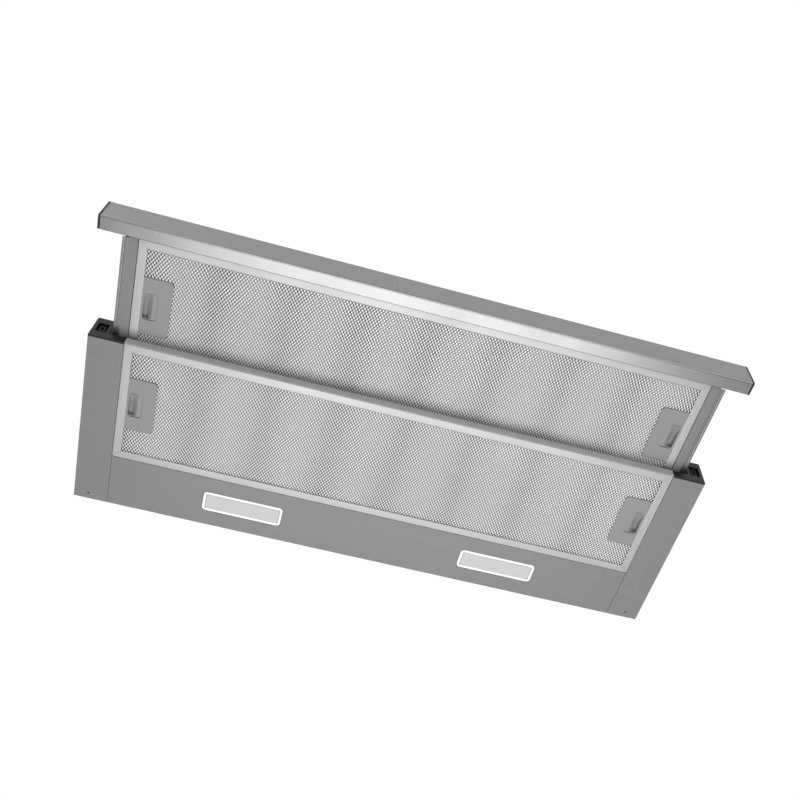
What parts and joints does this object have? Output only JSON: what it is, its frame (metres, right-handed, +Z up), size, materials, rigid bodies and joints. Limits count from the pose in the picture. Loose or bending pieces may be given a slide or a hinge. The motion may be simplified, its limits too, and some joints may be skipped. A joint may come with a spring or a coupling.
{
  "type": "pull out range hood",
  "caption": "Slim range hood that sits under and in a wall cabinet: a steel fronted tray with a grease filter slides out of a grey body with a second filter and lamps.",
  "frame": {"origin": "middle of the footprint of the hood with its tray out, at the height of the underside", "axes": "+Z up, -Y toward the cook, +X to the right as the cook faces the hood, along its width"},
  "size_m": [0.904, 0.4486, 0.223],
  "materials": {
    "painted_steel": "mid grey satin enamel on folded sheet steel",
    "latch_paint": "lighter grey satin enamel",
    "latch_plastic": "grey moulded plastic, fine grain",
    "brushed_steel": "stainless steel brushed along the bar",
    "black_plastic": "black moulded plastic, fine grain",
    "filter_aluminium": "mill finish aluminium",
    "lamp_rim": "bright moulded rim",
    "lamp_lens": "frosted diffuser",
    "white_plastic": "white moulded plastic",
    "zinc_steel": "zinc coated sheet steel"
  },
  "bodies": {
    "hood_body": {"upper_housing": "zinc_steel", "housing_side_left": "zinc_steel", "housing_side_right": "zinc_steel", "side_box_left": "painted_steel", "side_box_right": "painted_steel", "end_cap_left": "black_plastic", "end_cap_right": "black_plastic", "front_sill": "painted_steel", "light_panel": "painted_steel", "lamp_bezel_left": "lamp_rim", "lamp_bezel_right": "lamp_rim", "lamp_lens_left": "lamp_lens", "lamp_lens_right": "lamp_lens", "lamp_body_left": "white_plastic", "lamp_body_right": "white_plastic", "lamp_board_left": "white_plastic", "lamp_board_right": "white_plastic", "led_driver": "black_plastic", "body_filter_frame": "filter_aluminium", "body_filter_mesh": "filter_aluminium", "body_latch_left": "latch_paint", "body_latch_right": "latch_paint", "body_latch_springs": "zinc_steel", "rail_outer_left": "zinc_steel", "rail_outer_right": "zinc_steel", "scroll_left": "zinc_steel", "scroll_right": "zinc_steel", "plenum": "zinc_steel", "motor": "zinc_steel", "capacitor": "filter_aluminium", "terminal_box": "black_plastic", "cable_gland": "black_plastic", "outlet_collar": "black_plastic", "flap_rod": "zinc_steel", "tray_switch": "black_plastic"},
    "tray": {"front_bar": "brushed_steel", "bar_cap_left": "black_plastic", "bar_cap_right": "black_plastic", "tray_frame": "painted_steel", "rail_inner_left": "zinc_steel", "rail_inner_right": "zinc_steel", "tray_filter_frame": "filter_aluminium", "tray_filter_mesh": "filter_aluminium", "tray_latch_left": "latch_paint", "tray_latch_right": "latch_paint", "tray_latch_springs": "zinc_steel", "control_strip": "black_plastic"},
    "cage_left": {"ball_cage_left": "zinc_steel"},
    "cage_right": {"ball_cage_right": "zinc_steel"},
    "catch_tray_left": {"tray_catch_left": "latch_plastic"},
    "catch_tray_right": {"tray_catch_right": "latch_plastic"},
    "catch_body_left": {"body_catch_left": "latch_plastic"},
    "catch_body_right": {"body_catch_right": "latch_plastic"},
    "rear_flap": {"flap_rear": "black_plastic"},
    "front_flap": {"flap_front": "black_plastic"},
    "speed_knob": {"speed_slider": "black_plastic"},
    "light_knob": {"light_slider": "black_plastic"},
    "fan_rotor": {"fan_shaft": "zinc_steel", "fan_wheel_left": "zinc_steel", "fan_wheel_right": "zinc_steel"}
  },
  "joints": [
    {"name": "tray_slide", "type": "slide", "parent": "hood_body", "child": "tray", "axis": [0, -1, 0], "range_m": [-0.148, 0]},
    {"name": "cage_left_roll", "type": "slide", "parent": "hood_body", "child": "cage_left", "axis": [0, -1, 0], "range_m": [-0.074, 0]},
    {"name": "cage_right_roll", "type": "slide", "parent": "hood_body", "child": "cage_right", "axis": [0, -1, 0], "range_m": [-0.074, 0]},
    {"name": "tray_catch_left_draw", "type": "slide", "parent": "tray", "child": "catch_tray_left", "axis": [1, 0, 0], "range_m": [0, 0.0055], "stiffness_N_per_m": 200, "springref_m": -0.01, "deforming": ["tray_latch_springs"]},
    {"name": "tray_catch_right_draw", "type": "slide", "parent": "tray", "child": "catch_tray_right", "axis": [-1, 0, 0], "range_m": [0, 0.0055], "stiffness_N_per_m": 200, "springref_m": -0.01, "deforming": ["tray_latch_springs"]},
    {"name": "body_catch_left_draw", "type": "slide", "parent": "hood_body", "child": "catch_body_left", "axis": [1, 0, 0], "range_m": [0, 0.0055], "stiffness_N_per_m": 200, "springref_m": -0.01, "deforming": ["body_latch_springs"]},
    {"name": "body_catch_right_draw", "type": "slide", "parent": "hood_body", "child": "catch_body_right", "axis": [-1, 0, 0], "range_m": [0, 0.0055], "stiffness_N_per_m": 200, "springref_m": -0.01, "deforming": ["body_latch_springs"]},
    {"name": "flap_rear_hinge", "type": "hinge", "parent": "hood_body", "child": "rear_flap", "pos_m": [0, 0.1043, 0.2], "axis": [1, 0, 0], "range_deg": [0, 75]},
    {"name": "flap_front_hinge", "type": "hinge", "parent": "hood_body", "child": "front_flap", "pos_m": [0, 0.1043, 0.2], "axis": [-1, 0, 0], "range_deg": [0, 75]},
    {"name": "speed_slide", "type": "slide", "parent": "tray", "child": "speed_knob", "axis": [1, 0, 0], "range_m": [0, 0.03]},
    {"name": "light_slide", "type": "slide", "parent": "tray", "child": "light_knob", "axis": [1, 0, 0], "range_m": [0, 0.01]},
    {"name": "fan_spin", "type": "hinge", "parent": "hood_body", "child": "fan_rotor", "pos_m": [0, 0.0743, 0.1065], "axis": [1, 0, 0], "continuous": true}
  ],
  "couplings": [
    {"joint": "cage_left_roll", "follows": "tray_slide", "ratio": 0.5},
    {"joint": "cage_right_roll", "follows": "tray_slide", "ratio": 0.5}
  ]
}
